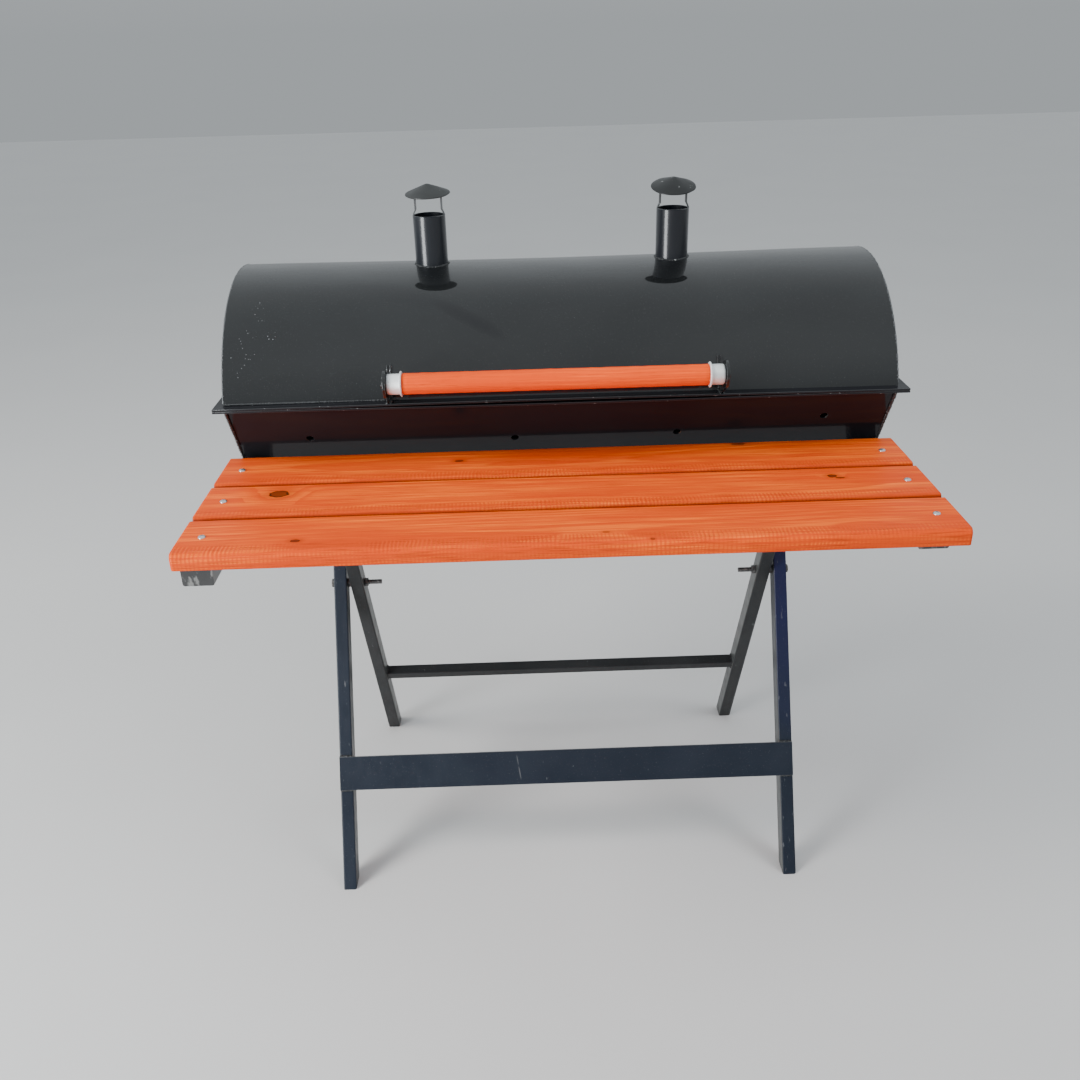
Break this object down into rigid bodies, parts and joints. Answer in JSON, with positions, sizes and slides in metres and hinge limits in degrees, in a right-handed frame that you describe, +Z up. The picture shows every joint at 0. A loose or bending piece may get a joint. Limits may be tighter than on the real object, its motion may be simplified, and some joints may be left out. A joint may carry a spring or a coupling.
{
  "type": "charcoal barrel grill",
  "caption": "Home-made charcoal barrel grill: trough firebox, hinged half-barrel lid with capped chimneys and wood handle, plank shelf, folding crossed tube stand.",
  "frame": {"origin": "on the ground, in the middle of the grill's footprint", "axes": "+X to the right along the grill, +Y to the back (the shelf is at the front), +Z up"},
  "size_m": [1, 0.7594, 1.1689],
  "materials": {
    "black_gloss_paint": "gloss black enamel",
    "firebox_paint": "gloss black enamel",
    "bracket_paint": "black paint, worn at the end",
    "stand_paint": "satin blue-grey paint",
    "stand_bolts": "dark steel bolts",
    "hinge_steel": "painted steel",
    "varnished_pine": "orange varnish",
    "handle_wood": "orange varnish",
    "zinc_ferrule": "satin zinc",
    "bright_screws": "zinc plated",
    "grate_wire": "drawn wire"
  },
  "bodies": {
    "lid": {"chimney_cap_left": "black_gloss_paint", "chimney_cap_right": "black_gloss_paint", "chimney_pipe_left": "black_gloss_paint", "chimney_pipe_right": "black_gloss_paint", "chimney_posts_left": "black_gloss_paint", "chimney_posts_right": "black_gloss_paint", "handle_ferrule_left": "zinc_ferrule", "handle_ferrule_right": "zinc_ferrule", "handle_plate_left": "black_gloss_paint", "handle_plate_right": "black_gloss_paint", "handle_rod": "handle_wood", "handle_screws": "black_gloss_paint", "hinge_barrels_lid": "hinge_steel", "lid_end_left": "black_gloss_paint", "lid_end_right": "black_gloss_paint", "lid_flange_back": "black_gloss_paint", "lid_flange_front": "black_gloss_paint", "lid_flange_left": "black_gloss_paint", "lid_flange_right": "black_gloss_paint", "lid_shell": "black_gloss_paint", "lid_stops": "black_gloss_paint"},
    "grate_left": {"cooking_grate_left": "grate_wire"},
    "grate_right": {"cooking_grate_right": "grate_wire"},
    "firebox": {"ear_bolts": "stand_bolts", "ear_nuts": "stand_bolts", "firebox_back_panel": "firebox_paint", "firebox_end_left": "firebox_paint", "firebox_end_right": "firebox_paint", "firebox_flange_back": "firebox_paint", "firebox_flange_front": "firebox_paint", "firebox_flange_left": "firebox_paint", "firebox_flange_right": "firebox_paint", "firebox_floor": "firebox_paint", "firebox_front_panel": "firebox_paint", "grate_ledges": "firebox_paint", "hinge_barrels_firebox": "hinge_steel", "hinge_pins": "hinge_steel", "shelf_bracket_left": "bracket_paint", "shelf_bracket_right": "bracket_paint", "shelf_plank_back": "varnished_pine", "shelf_plank_front": "varnished_pine", "shelf_plank_middle": "varnished_pine", "shelf_screws": "bright_screws", "stand_ear_left": "stand_paint", "stand_ear_right": "stand_paint", "stand_stop_left": "stand_paint", "stand_stop_right": "stand_paint"},
    "outer_frame": {"front_crossbar": "stand_paint", "outer_leg_left": "stand_paint", "outer_leg_right": "stand_paint", "pivot_bolts": "stand_bolts", "pivot_nuts": "stand_bolts", "pivot_spacers": "stand_bolts"},
    "inner_frame": {"inner_leg_left": "stand_paint", "inner_leg_right": "stand_paint", "inner_top_bar": "stand_paint", "rear_crossbar": "stand_paint"}
  },
  "joints": [
    {"name": "lid_hinge", "type": "hinge", "parent": "firebox", "child": "lid", "pos_m": [0, 0.36292, 0.8962], "axis": [-1, 0, 0], "range_deg": [0, 104]},
    {"name": "stand_fold", "type": "hinge", "parent": "firebox", "child": "outer_frame", "pos_m": [0, 0.22321, 0.69], "axis": [1, 0, 0], "range_deg": [0, 25]},
    {"name": "stand_pivot", "type": "hinge", "parent": "outer_frame", "child": "inner_frame", "pos_m": [0, 0.12332, 0.487], "axis": [1, 0, 0], "range_deg": [-50, 0]},
    {"name": "grate_lift_left", "type": "slide", "parent": "firebox", "child": "grate_left", "axis": [0, 0, 1], "range_m": [0, 0.05]},
    {"name": "grate_lift_right", "type": "slide", "parent": "firebox", "child": "grate_right", "axis": [0, 0, 1], "range_m": [0, 0.05]}
  ],
  "couplings": [
    {"joint": "stand_pivot", "follows": "stand_fold", "ratio": -2}
  ]
}
